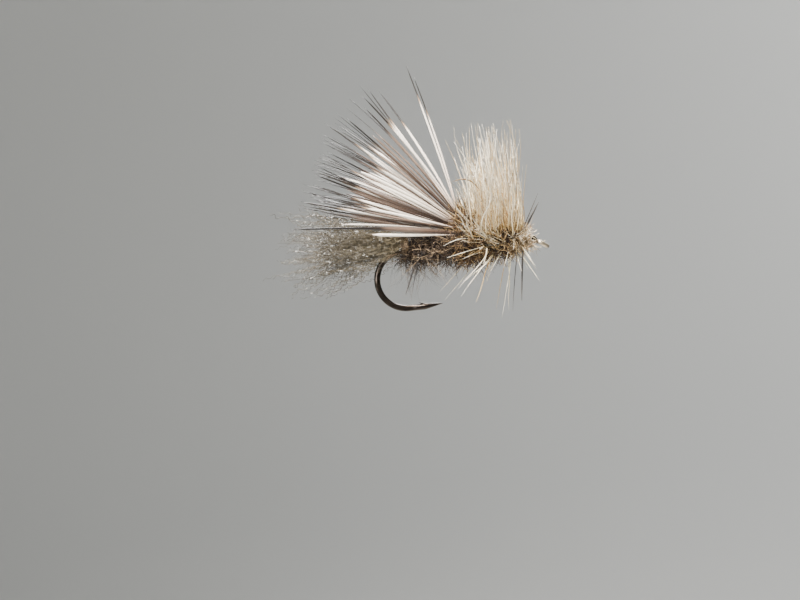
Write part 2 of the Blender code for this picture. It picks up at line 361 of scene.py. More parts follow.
def noise(tree, scale, detail, stretch=(1, 1, 1)):
    """Noise in object space; scale counts features a millimetre."""
    where = tree.nodes.new("ShaderNodeTexCoord")
    mapping = tree.nodes.new("ShaderNodeMapping")
    made = tree.nodes.new("ShaderNodeTexNoise")
    feed(tree, mapping.inputs, {"Vector": where.outputs["Object"], "Scale": stretch})
    feed(tree, made.inputs, {"Vector": mapping.outputs["Vector"], "Scale": scale / MM, "Detail": detail})
    return made.outputs["Fac"]


def feed(tree, inputs, values):
    """Feeds the named or numbered inputs of a node, each with a socket or a plain value."""
    for key, value in values.items():
        if isinstance(value, bpy.types.NodeSocket):
            tree.links.new(value, inputs[key])
        else:
            inputs[key].default_value = value


def blend(tree, factor, a, b, mode="MIX"):
    """Mixes two colours; factor, a and b are sockets or values."""
    node = tree.nodes.new("ShaderNodeMix")
    node.data_type = "RGBA"
    node.blend_type = mode
    feed(tree, node.inputs, {0: factor, 6: a, 7: b})
    return node.outputs[2]


def remap(tree, source, low, high, new_low, new_high):
    node = tree.nodes.new("ShaderNodeMapRange")
    ends = {"From Min": low, "From Max": high, "To Min": new_low, "To Max": new_high}
    feed(tree, node.inputs, {"Value": source, **ends})
    return node.outputs["Result"]


def bump(tree, shader, height, distance, strength):
    node = tree.nodes.new("ShaderNodeBump")
    feed(tree, node.inputs, {"Strength": strength, "Distance": distance, "Height": height})
    tree.links.new(node.outputs["Normal"], shader.inputs["Normal"])


def hair_material(name, along_stops, strand_stops, roughness, sheen=0.0, dull_stops=None):
    """Hair coloured along its length, shaded strand by strand, with fine streaks.

    Strands whose shade is under DULL_SHARE take dull_stops along their length, if there are any.
    """
    made, tree, shader = new_material(name)
    along, strand = attribute(tree, "along"), attribute(tree, "strand")
    colour = ramp(tree, along, along_stops)
    if dull_stops:
        dull = remap(tree, strand, DULL_SHARE - 0.02, DULL_SHARE + 0.02, 1.0, 0.0)
        colour = blend(tree, dull, colour, ramp(tree, along, dull_stops))
    colour = blend(tree, 1.0, colour, ramp(tree, strand, strand_stops), "MULTIPLY")
    streak = ramp(tree, noise(tree, 9.0, 2.0), [(0.3, (0.72, 0.72, 0.72, 1)), (0.7, (1, 1, 1, 1))])
    colour = blend(tree, 1.0, colour, streak, "MULTIPLY")
    feed(tree, shader.inputs, {"Base Color": colour, "Roughness": roughness})
    feed(tree, shader.inputs, {"Sheen Weight": sheen, "Sheen Roughness": 0.4})
    return made


def fur_material(name, shades):
    """Dubbing fur: each fibre's colour is between two of shades, in patches, and paler at its tip."""
    made, tree, shader = new_material(name)
    places = np.linspace(0.02, 0.98, len(shades)).tolist()
    stops = [(place, srgb(*shade)) for place, shade in zip(places, shades)]
    colour = ramp(tree, attribute(tree, "strand"), stops)
    patch = ramp(tree, noise(tree, 1.6, 2.0), [(0.35, (0.6, 0.57, 0.55, 1)), (0.65, (1, 1, 1, 1))])
    colour = blend(tree, 1.0, colour, patch, "MULTIPLY")
    pale = ramp(tree, attribute(tree, "along"), [(0.0, (0.7, 0.7, 0.7, 1)), (1.0, (1, 1, 1, 1))])
    colour = blend(tree, 1.0, colour, pale, "MULTIPLY")
    feed(tree, shader.inputs, {"Base Color": colour, "Roughness": 0.75, "Specular IOR Level": 0.25})
    return made


def felt_material(name, dark, light):
    """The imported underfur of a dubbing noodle: fine crossed fibres in relief."""
    made, tree, shader = new_material(name)
    weave = noise(tree, 10.0, 6.0, (1.0, 0.35, 0.35))
    colour = ramp(tree, weave, [(0.35, dark), (0.65, light)])
    roughness = remap(tree, weave, 0.3, 0.7, 0.95, 0.7)
    feed(tree, shader.inputs, {"Base Color": colour, "Roughness": roughness, "Specular IOR Level": 0.2})
    bump(tree, shader, weave, 0.08 * MM, 1.0)
    return made


def deer_material():
    """Deer hair: brown butts, partly painted shade of the crowded roots, white middles, a tan band and
    near-black tips; dull ones are taupe.
    """
    return hair_material(
        "deer_hair",
        [
            # The dark brown butts are partly the hair's own colour and partly painted shade where the
            # hairs crowd at the root.
            (0.0, srgb(104, 83, 70)), (0.1, srgb(156, 136, 122)), (0.22, srgb(208, 192, 178)),
            (0.4, srgb(238, 227, 212)), (0.69, srgb(245, 236, 223)), (0.735, srgb(150, 128, 106)),
            (0.775, srgb(38, 31, 25)), (1.0, srgb(30, 27, 24)),
        ],
        # Strand by strand: the darkest are dark hairs, and partly painted shade for the gaps between
        # hairs.
        [
            (0.0, (0.4, 0.36, 0.34, 1)), (0.12, (0.62, 0.58, 0.56, 1)), (0.4, (1, 0.98, 0.96, 1)),
            (1.0, (1, 0.97, 0.93, 1)),
        ],
        0.32,
        dull_stops=[
            (0.0, srgb(56, 45, 38)), (0.3, srgb(96, 79, 68)), (0.5, srgb(134, 115, 101)),
            (0.68, srgb(114, 96, 83)), (0.76, srgb(40, 34, 29)), (1.0, srgb(32, 29, 26)),
        ],
    )


def hackle_material():
    """Cream hair with golden roots and greyer tips; dull ones are tan."""
    return hair_material(
        "hackle_hair",
        [
            (0.0, srgb(150, 120, 70)), (0.14, srgb(254, 228, 168)), (0.4, srgb(255, 242, 206)),
            (0.7, srgb(225, 214, 190)), (1.0, srgb(190, 184, 170)),
        ],
        [
            (0.0, (0.2, 0.16, 0.12, 1)), (0.05, (0.4, 0.32, 0.24, 1)), (0.12, (0.88, 0.79, 0.66, 1)),
            (0.42, (0.88, 0.81, 0.7, 1)), (0.66, (0.96, 0.93, 0.86, 1)), (0.8, (1, 1, 1, 1)),
            (1.0, (1.08, 1.08, 1.08, 1)),
        ],
        0.36,
        sheen=0.1,
        dull_stops=[(0.0, srgb(100, 76, 40)), (0.35, srgb(212, 173, 98)), (1.0, srgb(186, 170, 134))],
    )


def shuck_material():
    """Olive-tan synthetic yarn, paler at the root, with painted glints: small white specks spread over it
    at random.
    """
    made = hair_material(
        "shuck_yarn",
        # Paler at the root: painted light, for the light that comes through the dense yarn there; darker
        # towards the ends.
        [(0.0, srgb(156, 141, 113)), (0.35, srgb(112, 102, 83)), (1.0, srgb(76, 70, 60))],
        [(0.0, (0.6, 0.58, 0.53, 1)), (0.5, (0.84, 0.82, 0.77, 1)), (1.0, (1.05, 1.04, 1.0, 1))],
        0.26,
    )
    tree = made.node_tree
    shader = tree.nodes["Principled BSDF"]
    colour = shader.inputs["Base Color"].links[0].from_socket
    # Painted glints: white specks in the colour that stand in for highlights.
    painted_glint = remap(tree, noise(tree, 1.9, 1.0), 0.69, 0.72, 0.0, 1.0)
    colour = blend(tree, painted_glint, colour, srgb(236, 232, 222))
    feed(tree, shader.inputs, {"Base Color": colour, "Specular IOR Level": 0.4})
    feed(tree, shader.inputs, {"Coat Weight": 0.1, "Coat Roughness": 0.05})
    return made


def guard_material():
    return hair_material(
        "guard_hair",
        [(0.0, srgb(60, 50, 40)), (0.5, srgb(42, 37, 33)), (1.0, srgb(80, 74, 68))],
        [(0.0, (0.8, 0.8, 0.8, 1)), (1.0, (1, 1, 1, 1))],
        0.35,
    )


def steel_material():
    """Bronzed wire: brown-black with warmer patches, and a painted highlight round the eye: paler, rougher
    and less metallic there.
    """
    made, tree, shader = new_material("bronzed_steel")
    wear_and_highlight = noise(tree, 1.1, 6.0)
    bronze = [(0.35, srgb(42, 37, 34)), (0.65, srgb(62, 54, 47)), (0.8, srgb(116, 97, 74))]
    colour = ramp(tree, wear_and_highlight, bronze)
    # Painted highlight round the eye, not wear: a pale colour that stands in for the light on the ring.
    eye_highlight_colour = ramp(tree, wear_and_highlight, [(0.35, srgb(84, 74, 62)), (0.75, srgb(196, 180, 154))])
    eye_highlight_mask = remap(tree, attribute(tree, "along"), EYE_SHARE, EYE_SHARE + 0.06, 1.0, 0.0)
    roughness, metallic = (remap(tree, eye_highlight_mask, 0.0, 1.0, *ends) for ends in ((0.24, 0.3), (1.0, 0.9)))
    colour = blend(tree, eye_highlight_mask, colour, eye_highlight_colour)
    feed(tree, shader.inputs, {"Base Color": colour, "Roughness": roughness, "Metallic": metallic})
    bump(tree, shader, noise(tree, 14.0, 4.0), 0.01 * MM, 0.4)
    return made


def thread_material():
    """Waxed thread with the lay of its filaments."""
    made, tree, shader = new_material("waxed_thread")
    lay = noise(tree, 22.0, 3.0, (1.0, 0.3, 0.3))
    colour = ramp(tree, lay, [(0.3, srgb(88, 68, 44)), (0.7, srgb(136, 110, 76))])
    roughness = remap(tree, lay, 0.3, 0.7, 0.65, 0.45)
    feed(tree, shader.inputs, {"Base Color": colour, "Roughness": roughness})
    bump(tree, shader, lay, 0.012 * MM, 0.8)
    return made


def cement_material():
    """Amber varnish over the thread."""
    made, tree, shader = new_material("head_cement")
    tint = noise(tree, 3.0, 3.0)
    colour = ramp(tree, tint, [(0.3, srgb(120, 84, 44)), (0.7, srgb(176, 134, 78))])
    feed(tree, shader.inputs, {"Base Color": colour, "Roughness": 0.12, "Coat Weight": 0.8})
    bump(tree, shader, noise(tree, 6.0, 2.0), 0.02 * MM, 0.3)
    return made


# -------- hook


def eye_and_neck():
    """Centreline of the eye from its free end round the ring to the shank, with its radii."""
    forward = np.array([math.cos(EYE_DROP), 0, -math.sin(EYE_DROP)])
    corner = np.array([SHANK_FRONT_X, 0, SHANK_Z])
    centre = corner + forward * NECK_LENGTH
    # Angles from the neck's side: the free end is just short of the neck.
    turns = np.radians(np.linspace(334, 30, 44))
    ring = (
        centre
        - forward * (EYE_RADIUS * np.cos(turns))[:, None]
        + np.array([0, 1.0, 0]) * (EYE_RADIUS * np.sin(turns))[:, None]
    )
    neck = centre - forward * (EYE_RADIUS + 0.2 * MM)
    swing = mix(ring[-1], neck, 0.55) + [0, 0.02 * MM, 0]
    key = np.array([ring[-1], swing, neck, corner - [0.05 * MM, 0, 0], corner - [0.35 * MM, 0, 0]])
    joined = curve_through(key, 18)[1:]
    widening = np.linspace(EYE_WIRE, WIRE_RADIUS, len(joined))
    radii = np.concatenate((np.full(len(ring), EYE_WIRE), widening))
    ground_end = 6
    radii[:ground_end] *= np.linspace(0.45, 1.0, ground_end)
    return np.vstack((ring, joined)), radii


def curve_through(key, count):
    """A Catmull-Rom curve through the key points, count points in all."""
    padded = np.vstack((2 * key[0] - key[1], key, 2 * key[-1] - key[-2]))
    place = np.linspace(0, len(key) - 1, count)
    index = np.minimum(place.astype(int), len(key) - 2)
    t = (place - index)[:, None]
    a, b, c, d = (padded[index + i] for i in range(4))
    square, cube = 2 * a - 5 * b + 4 * c - d, 3 * b - a - 3 * c + d
    return 0.5 * (2 * b + (c - a) * t + square * t**2 + cube * t**3)


def hook_centreline():
    """The whole wire from the eye's free end to the point, with its radii."""
    eye, eye_radii = eye_and_neck()
    shank_x = np.linspace(eye[-1][0], BEND_X, 30)[1:]
    shank = xyz(shank_x, 0, SHANK_Z)
    angle = np.linspace(0, math.pi, 72)[1:]
    bend = xyz(BEND_X - BEND_RADIUS * np.sin(angle), 0, BEND_Z + BEND_RADIUS * np.cos(angle))
    reach = np.linspace(0, 1, 40)[1:]
    straight = 1 - POINT_TAPER / POINT_LENGTH
    ground = np.clip((reach - straight) / (1 - straight), 0, 1)
    point = xyz(BEND_X + POINT_LENGTH * reach, 0, ARM_Z + 0.12 * MM * ground)
    point_radii = WIRE_RADIUS * (1 - 0.95 * ground**1.25)
    radii = np.concatenate((eye_radii, np.full(len(shank) + len(bend), WIRE_RADIUS), point_radii))
    return np.vstack((eye, shank, bend, point)), radii


def forge(points):
    """Flattens the sides of the lower half of the bend, easing in from the round wire."""
    x, y, z = points.T
    in_bend = ease((BEND_Z + 0.1 * MM - z) / (0.5 * MM)) * ease((BEND_X + 0.7 * MM - x) / (0.4 * MM))
    limit = mix(WIRE_RADIUS, FORGED_HALF, in_bend)
    points[:, 1] = np.where(in_bend > 0, np.clip(y, -limit, limit), y)
    return points


def barb_strand():
    """The barb: a sliver cut up from the wire, its root towards the point."""
    steps, length, height = 8, 0.62 * MM, 0.2 * MM
    root_x = BEND_X + POINT_LENGTH - POINT_TAPER + 0.18 * MM
    x = np.linspace(root_x, root_x - length, steps)
    z = ARM_Z + WIRE_RADIUS * 0.78 + height * np.linspace(0, 1, steps) ** 1.4
    path = xyz(x, 0, z)[None]
    return Strands(path, taper(steps, 0.07, 0.07, 0.05, 0.008)[None], 8)


def build_hook(look):
    path, radii = hook_centreline()
    strands = [Strands(path[None], radii[None], 20), barb_strand()]
    hook = add_piece("hook_bronzed", strands, look, "hook")
    points = np.empty(len(hook.data.vertices) * 3)
    hook.data.vertices.foreach_get("co", points)
    forged = forge(points.reshape(-1, 3))
    hook.data.vertices.foreach_set("co", forged.ravel())
    hook.data.update()


# -------- thread


def winding(ends, turns, half_width, half_height, centre_z):
    """One strand of thread wound round the shank between two places, with a little unevenness."""
    rng = seeded(f"winding {ends[0]:.6f}")
    steps, shifts = turns * 26, 12
    share = np.linspace(0, 1, steps)
    angle = math.tau * turns * share
    uneven = np.interp(share, np.linspace(0, 1, shifts), rng.normal(0, 0.012 * MM, shifts))
    x = mix(ends[0] + THREAD_RADIUS, ends[1] - THREAD_RADIUS, share) + uneven
    y = half_width * np.sin(angle)
    z = centre_z + half_height * np.cos(angle)
    return Strands(xyz(x, y, z)[None], np.full((1, steps), THREAD_RADIUS), 8)


def build_thread(look):
    """The four windings of the one tying thread: turns, half width, half height and centre."""
    seat = WIRE_RADIUS + THREAD_RADIUS
    windings = (
        ("tying_thread_base", "thread_base_layer", 34, seat, seat, SHANK_Z),
        ("tying_thread_over_shuck", "thread_shuck_wraps", 6, 0.6 * MM, 0.7 * MM, SHANK_Z + 0.28 * MM),
        ("tying_thread_over_wing", "thread_wing_wraps", 10, 0.68 * MM, 1.16 * MM, SHANK_Z + 0.71 * MM),
        ("whip_finish", "thread_head_whip_finish", 5, seat, seat, SHANK_Z),
    )
    for name, node, turns, half_width, half_height, centre_z in windings:
        strand = winding(span(node), turns, half_width, half_height, centre_z)
        add_piece(name, [strand], look, node)


def build_cement(look):
    """A thin film over the whip finish, thickest in its middle."""
    share = np.linspace(0, 1, 12)
    x = mix(*span("head_cement"), share)
    thickest = 0.075 * MM
    swell = WIRE_RADIUS + 2 * THREAD_RADIUS + thickest * np.sin(math.pi * share) ** 0.5
    path = xyz(x, 0, SHANK_Z)[None]
    film = Strands(path, swell[None], 24)
    add_piece("head_cement_film", [film], look, "head_cement")


# -------- dubbing


def section(girth, share, angle, inset=0.0, scale=1.0):
    """The y and z of places round a dubbed body, angle from the top.

    girth gives the body's half width, half height and centre at a share of its length.
    """
    half_width, half_height, centre_z = girth(share)
    y = scale * (half_width - inset) * np.sin(angle)
    return y, centre_z + scale * (half_height - inset) * np.cos(angle)


def noodle(name, ends, turns, girth, thickness):
    """The dubbed thread, thick and lumpy, wound round the shank."""
    rng = seeded(name + " noodle")
    steps = turns * 24
    lumps = steps // 4
    share = np.linspace(0, 1, steps)
    radius = thickness * np.interp(share, np.linspace(0, 1, lumps), rng.normal(1, 0.16, lumps))
    x = mix(ends[0] + thickness, ends[1] - thickness, share)
    y, z = section(girth, share, math.tau * turns * share, inset=thickness)
    return Strands(xyz(x, y, z)[None], radius[None], 10)


def fuzz(rng, count, ends, girth, lengths, lift, radius, angles=None):
    """Curly fibres that leave a dubbed body: mostly along the winding, raised from it by lift."""
    steps = 8
    share = rng.random(count)
    angle = rng.uniform(-math.pi, math.pi, count) if angles is None else angles
    roots = xyz(mix(*ends, share), *section(girth, share, angle, scale=0.85))
    out = outward(angle)
    sense = np.where(rng.random(count) < 0.5, 1.0, -1.0)[:, None]
    round_body = xyz(0, np.cos(angle), -np.sin(angle)) * sense
    along = np.array([[1.0, 0, 0]]) * rng.normal(0, 0.7, count)[:, None]
    raised = rng.uniform(*lift, count)[:, None]
    start = unit(round_body + along + out * raised)
    end = unit(round_body * 0.4 + along + out * raised * 1.3 + any_direction(rng, count) * 0.6)
    waves = [wave(rng, count, (0.2, 1.1), (0.5, 1.6)) for _ in range(2)]
    length = rng.uniform(*lengths, count) * MM
    paths = grow(roots, start, end, length, steps, 0.8, waves=waves)
    tapered = taper(steps, radius, radius, radius * 0.9, radius * 0.35)
    return Strands(paths, rng.uniform(0.7, 1.3, count)[:, None] * tapered, 3)


def add_dubbing(names, core, fibres, felt, fur, node):
    """The two pieces of a dubbed body: its wound core of underfur, and the fibres that leave it."""
    for name, groups, look in zip(names, ([core], fibres), (felt, fur)):
        add_piece(name, groups, look, node)


def build_abdomen(fur, felt):
    ends = ABDOMEN + np.array([-0.5, 0.3]) * MM
    rear_ends = ends[0] + np.array([0.0, 1.6]) * MM

    def girth(share):
        half = mix(0.5, 0.86, ease(share * 2.6)) * reach_of("abdomen_dubbing")[0]
        return half, half, SHANK_Z

    rng = seeded("abdomen fuzz")
    hanging, rear_hanging = 260, 130
    below = math.pi + rng.normal(0, 0.5, hanging)
    fibres = [
        fuzz(rng, 1100, ends, girth, (1.0, 2.6), (-0.1, 0.2), 0.026),
        fuzz(rng, 90, ends, girth, (1.4, 3.0), (0.1, 0.6), 0.024),
        fuzz(rng, hanging, ends, girth, (0.9, 2.8), (0.4, 1.4), 0.009, below),
        fuzz(rng, rear_hanging, rear_ends, girth, (1.6, 4.4), (0.5, 1.6), 0.009, below[:rear_hanging]),
    ]
    core = noodle("abdomen", ends, 8, girth, 0.28 * MM)
    names = "abdomen_noodle", "abdomen_fur"
    add_dubbing(names, core, fibres, felt, fur, "abdomen_dubbing")


def build_thorax(fur, felt):
    def girth(share):
        width, height = reach_of("thorax_dubbing")
        swell = np.sin(math.pi * share)
        return (0.8 + 0.12 * swell) * width, (0.78 + 0.1 * swell) * height, height_of("thorax_dubbing")

    rng = seeded("thorax fuzz")
    ends = THORAX + np.array([0.35, 0]) * MM
    fibres = [
        fuzz(rng, 1000, ends, girth, (0.9, 2.4), (0.0, 0.4), 0.028),
        fuzz(rng, 150, ends, girth, (1.4, 2.8), (0.3, 1.2), 0.026),
    ]
    core = noodle("thorax", THORAX, 4, girth, 0.32 * MM)
    names = "thorax_noodle", "thorax_fur"
    add_dubbing(names, core, fibres, felt, fur, "thorax_dubbing")


def build_head(fur, felt):
    def girth(share):
        half = mix(0.84, 0.42, share) * reach_of("head_dubbing")[0]
        return half, half, SHANK_Z

    rng = seeded("head fuzz")
    ends = HEAD + np.array([0, 0.45]) * MM
    fibres = [
        fuzz(rng, 560, ends, girth, (0.5, 1.5), (0.0, 0.55), 0.028),
        fuzz(rng, 80, ends, girth, (0.9, 1.9), (0.4, 1.6), 0.02),
    ]
    core = noodle("head", HEAD, 4, girth, 0.22 * MM)
    names = "head_noodle", "head_fur"
    add_dubbing(names, core, fibres, felt, fur, "head_dubbing")


# -------- wing


# Locks in each row of the fan, lowest row first, and the hairs in each of a row's locks.
WING_ROWS = (3, 4, 5, 4, 3)
WING_HAIRS = (5, 6, 4, 3, 3)
# Elevations in degrees, the angle between neighbouring locks across the fan, and how far above and
# below its own elevation a lock's hairs reach.
TALL_PAIR = 78.8
ROW_ELEVATIONS = (13.0, 59.0)
LOWEST_HAIR = 12.5
LOCK_SPACING = 9.5
LOCK_SPREAD = 6.5
# A deer hair's radius from root to tip, in millimetres.
SPINDLE = (0.06, 0.075, 0.095, 0.12, 0.14, 0.145, 0.135, 0.108, 0.082, 0.076, 0.05)
# Extra hairs low over the back, in the lowest row's middle lock: elevation, length, thickness, how far
# along its colours each gets, shade and bow.
LOW_HAIRS = (
    (6.0, 7.8, 1.0, 0.72, 0.9, 0.02),
    (9.0, 14.4, 1.6, 1.5, 0.04, -0.1),
    (12.0, 10.2, 0.5, 0.72, 0.8, -0.2),
)


def wing_locks():
    """(CAD node, row, elevation, side) of each lock, angles in degrees, in the CAD's order."""
    number = 0
    for row, columns in enumerate(WING_ROWS):
        for column in range(columns):
            number += 1
            across = column - (columns - 1) / 2
            uneven = 3.0 * math.sin(2.4 * number)
            elevation = mix(*ROW_ELEVATIONS, row / (len(WING_ROWS) - 1)) + uneven
            if row == len(WING_ROWS) - 1 and across == 0:
                elevation = TALL_PAIR
            yield f"wing_hair_lock_{number:02d}", row, elevation, LOCK_SPACING * across


def wing_length(elevation):
    """Hair length in millimetres: shorter over the back than in the middle of the fan."""
    return 13.1 + 0.5 * ease((elevation - 14.0) / 30.0)


def deer_hairs(rng, elevation, side, length, thickness, colours_to, shades, bow):
    """Spindle-shaped hairs that fan out of the wing wraps, one for each elevation and side in degrees.

    A hair whose colours_to is well under 1 is one that broke off in its thick white part.
    """
    steps, count = 28, len(elevation)
    rise, swing = np.radians(elevation), np.radians(side)
    root_x = WING_TIE[1] - mix(0.3, 0.5, ease((rise - 1.05) / 0.3)) * MM
    root_z = WING_Z + (rise - 0.45) * MM + rng.normal(0, 0.05 * MM, count)
    roots = xyz(root_x, swing * 1.3 * MM, root_z)
    start = rearward(rise * 0.8, swing * 0.5)
    bend = rearward(rise + math.pi / 2, 0 * swing) * rng.normal(bow, 0.09, count)[:, None]
    waves = [wave(rng, count, (0.0, 0.05), (0.5, 1.4))]
    paths = grow(roots, start, rearward(rise, swing), length * MM, steps, 0.12, bow=bend, waves=waves)
    share = np.linspace(0, 1, steps)
    sizes = np.interp(colours_to[:, None] * share, np.linspace(0, 1, len(SPINDLE)), SPINDLE) * MM
    rounded_tip = np.clip((1 - share) / 0.06, 0.3, 1.0)
    return Strands(paths, sizes * thickness[:, None] * rounded_tip, 8, colours_to, shades)


def lock_hairs(rng, elevation, side, count):
    """The hairs of one lock, evenly spread over its share of the fan, each with its own build.

    Dull hairs are most common in the middle of the wing, behind the pale ones of its sides: partly their
    own darker colour, partly painted shade for the inside of the fan.
    """
    rise = elevation + LOCK_SPREAD * (2 * (rng.permutation(count) + rng.random(count)) / count - 1)
    rise = LOWEST_HAIR + np.abs(rise - LOWEST_HAIR)
    # Painted shade: more dull hairs in the middle of the fan, where its inside lies in shade.
    dull = rng.random(count) < mix(0.94, 0.6, ease(abs(side) / 9.0))
    broken = rng.random(count) < np.where(dull, 0.12, 0.24)
    colours_to = np.where(broken, rng.uniform(0.66, 0.75, count), rng.uniform(0.92, 1.12, count))
    kept = np.where(broken, colours_to + 0.08, 1.0)
    length = wing_length(elevation) * rng.uniform(0.9, 1.03, count) * kept
    dull_shades = DULL_SHARE * rng.random(count)
    shades = np.where(dull, dull_shades, mix(DULL_SHARE + 0.03, 1.0, rng.random(count)))
    thickness = np.where(dull, 0.8, 1.0) * np.clip(rng.normal(0.71, 0.18, count), 0.4, 1.1)
    bow = mix(0.1, -0.16, ease((elevation - 13.0) / 20.0))
    sides = side + rng.normal(0, 4.0, count)
    return deer_hairs(rng, rise, sides, length, thickness, colours_to, shades, bow)


def tall_pair(rng):
    """The two hairs that stand apart in front of the fan."""
    pair = np.array([-1.0, 1.0])
    thickness, colours_to, shades = np.array([[0.6, 0.54], [0.95, 1.0], [0.9, 0.7]])
    return deer_hairs(
        rng, TALL_PAIR + pair, pair, 12.5 - 0.5 * pair, thickness, colours_to, shades, bow=-0.12
    )


def build_wing(look):
    for node, row, elevation, side in wing_locks():
        rng = seeded(node)
        if elevation == TALL_PAIR:
            groups = [tall_pair(rng)]
        else:
            groups = [lock_hairs(rng, elevation, side, WING_HAIRS[row])]
        if row == 0 and side == 0:
            rise, *builds = np.array(LOW_HAIRS).T
            near_side = rng.normal(0, 2.0, len(rise)) - 16.0
            groups.append(deer_hairs(rng, rise, near_side, *builds))
        add_piece(node.replace("lock", "bundle"), groups, look, node)


# -------- shuck


# The fibres' crinkles, two fine and one coarse: the ranges of their sizes and of their turns.
SHUCK_WAVES = (((0.7, 1.8), (9, 16)), ((0.7, 1.7), (13, 23)), ((0.1, 0.7), (0.5, 2.5)))
# Each level of tufts: its name, its elevation in degrees, and its roots' height over the shank.
SHUCK_LEVELS = (("upper", 8.0, 0.8), ("middle", 0.0, 0.6), ("lower", -8.5, 0.42))


def shuck_fibres(rng, elevation, side, rise):
    """Crinkled fibres of one tuft, with ends that curl off any way."""
    count, steps = 64, 112
    climb = np.radians(elevation + rng.normal(0, 5.0, count))
    swing = np.radians(side * 7.0 + rng.normal(0, 8.0, count))
    roots = xyz(
        SHUCK_TIE[1] - 0.1 * MM,
        side * rng.uniform(0.0, 0.3, count) * MM,
        SHANK_Z + (rise + rng.normal(0, 0.08, count)) * MM,
    )
    waves = [wave(rng, count, sizes, turns) for sizes, turns in SHUCK_WAVES]
    start = rearward(climb * 0.2, swing * 0.2)
    length = rng.uniform(9.9, 13.8, count) * MM
    curl = any_direction(rng, count) * rng.uniform(0.0, 0.9, count)[:, None]
    paths = grow(roots, start, rearward(climb, swing), length, steps, 0.2, bow=curl, waves=waves)
    radii = rng.uniform(0.7, 1.3, count)[:, None] * taper(steps, 0.018, 0.02, 0.02, 0.016)
    return Strands(paths, radii, 3)


def build_shuck(look):
    for level, elevation, rise in SHUCK_LEVELS:
        for hand, side in (("left", 1), ("right", -1)):
            node = f"shuck_{level}_{hand}"
            fibres = shuck_fibres(seeded(node), elevation, side, rise)
            add_piece(f"shuck_yarn_{level}_{hand}", [fibres], look, node)


# -------- hackle


# The rows of standing locks: their angles from the top in degrees, and their length.
STANDING_ROWS = ((-52, -17, 17, 52), (-35, 0, 35)) * 2
STANDING_LENGTH = 9.6
# The other locks: share along the rope, angle from the top, lean and length. The two at the sides hold
# standing hairs as well, and those have a lean of their own.
NEAR_LOCK = -84
OTHER_LOCKS = (
    (0.4, NEAR_LOCK, 0, 6.5), (0.4, -NEAR_LOCK, 0, 6.5), (0.1, 165, -43, 5.4),
    (0.4, -155, -24, 4.8), (0.75, 170, -11, 6.4), (0.95, -165, 24, 3.6),
)


def hackle_locks():
    """(CAD node, share along the rope, angle, lean, length) of each lock, in the CAD's order."""
    locks = []
    for row, angles in enumerate(STANDING_ROWS):
        share = (row + 0.5) / len(STANDING_ROWS)
        locks += [(share, angle, 0, STANDING_LENGTH) for angle in angles]
    for number, lock in enumerate((*locks, *OTHER_LOCKS), start=1):
        yield f"hackle_lock_{number:02d}", *lock


def radiate(rng, share, turn, tilt, reach, sizes, wander, shades):
    """Hairs out of the rope: turn round the shank, tilt towards the eye, one row a hair."""
    steps, count = 16, len(turn)
    ends = HACKLE + np.array([-0.3, 0.9]) * MM
    out = outward(turn)
    roots = xyz(mix(*ends, share), 0, SHANK_Z) + out * 0.45 * MM
    start = unit(out + any_direction(rng, count) * 0.5)
    bow = any_direction(rng, count) * rng.uniform(0.0, wander, count)[:, None]
    waves = [wave(rng, count, (0.0, 0.5 * wander), (0.4, 2.2))]
    paths = grow(roots, start, outward(turn, tilt), reach * MM, steps, 0.3, bow=bow, waves=waves)
    radii = rng.uniform(0.75, 1.25, count)[:, None] * taper(steps, *sizes)
    return Strands(paths, radii, 4, shades=shades)


# The fine and the bold hairs of a standing lock: how many, how ragged their tops are, the range of
# their shades, and their radii.
STANDING_KINDS = (
    (44, 0.66, (0.0, 0.8), (0.016, 0.02, 0.019, 0.016, 0.007)),
    (8, 0.55, (0.5, 1.0), (0.034, 0.05, 0.05, 0.04, 0.012)),
)


def standing_hairs(rng, share, angle, length):
    """One standing lock. Hairs that lean back are shorter, and none leans past the front limit."""
    groups = []
    for count, ragged, shades, sizes in STANDING_KINDS:
        count = count // 3 if abs(angle) == abs(NEAR_LOCK) else count
        turn = np.radians(angle + rng.normal(0, 10.0, count))
        place = np.clip(share + rng.uniform(-0.25, 0.25, count), 0, 1)
        stray = np.where(rng.random(count) < 0.1, rng.uniform(8, 28, count), 0.0)
        limit = mix(12.0, 4.0, place)
        lean = limit - np.abs(limit - mix(-7.0, 3.0, place) - rng.normal(0, 9.0, count)) - stray
        behind = ease((-lean - 5.0 + 9.0 * (0.4 - place)) / 14.0)
        top = (1.0 - ragged * rng.random(count)) * (1.0 - 0.46 * behind)
        reach = length * mix(0.96, 1.0, place) * top
        drawn = rng.uniform(*shades, count)
        groups.append(radiate(rng, place, turn, np.radians(lean), reach, sizes, 0.55, drawn))
    return groups


# Hairs that cross the near side. The first kind radiates from the rope: share along it, angle, lean
# and length. The second kind lies back along the body: the root's share and its height over the shank,
# how far the tip is behind and above the root, in millimetres, how much it arches, and its shade.
CROSSING = (
    (0.35, -140, -40, 5.8), (0.42, -134, -44, 5.4), (0.30, -138, -36, 4.6), (0.28, -112, -66, 4.4),
    (0.62, -148, -30, 2.8), (0.75, -142, -16, 2.6), (0.90, -150, 8, 2.4), (1.00, -140, 24, 2.2),
    (1.00, -150, 30, 2.3),
)
LYING = (
    (0.36, -0.40, 3.9, 0.75, 0.55, 0.9), (0.98, -0.60, 2.2, 1.40, 0.05, 1.0),
    (0.80, -0.35, 2.5, 1.75, 0.10, 0.9), (0.66, -0.20, 2.8, 1.95, -0.05, 0.8),
    (0.92, -0.10, 1.7, 1.35, 0.10, 0.9), (0.78, -0.60, 1.8, 0.55, 0.15, 0.8),
    (0.48, -0.10, 1.6, 1.50, 0.00, 1.0), (0.40, -0.75, 2.4, -0.35, 0.20, 0.9),
    (1.15, 1.15, 4.00, 7.10, 0.00, 1.0), (0.20, 4.30, 2.1, 1.30, 0.70, 0.02),
)
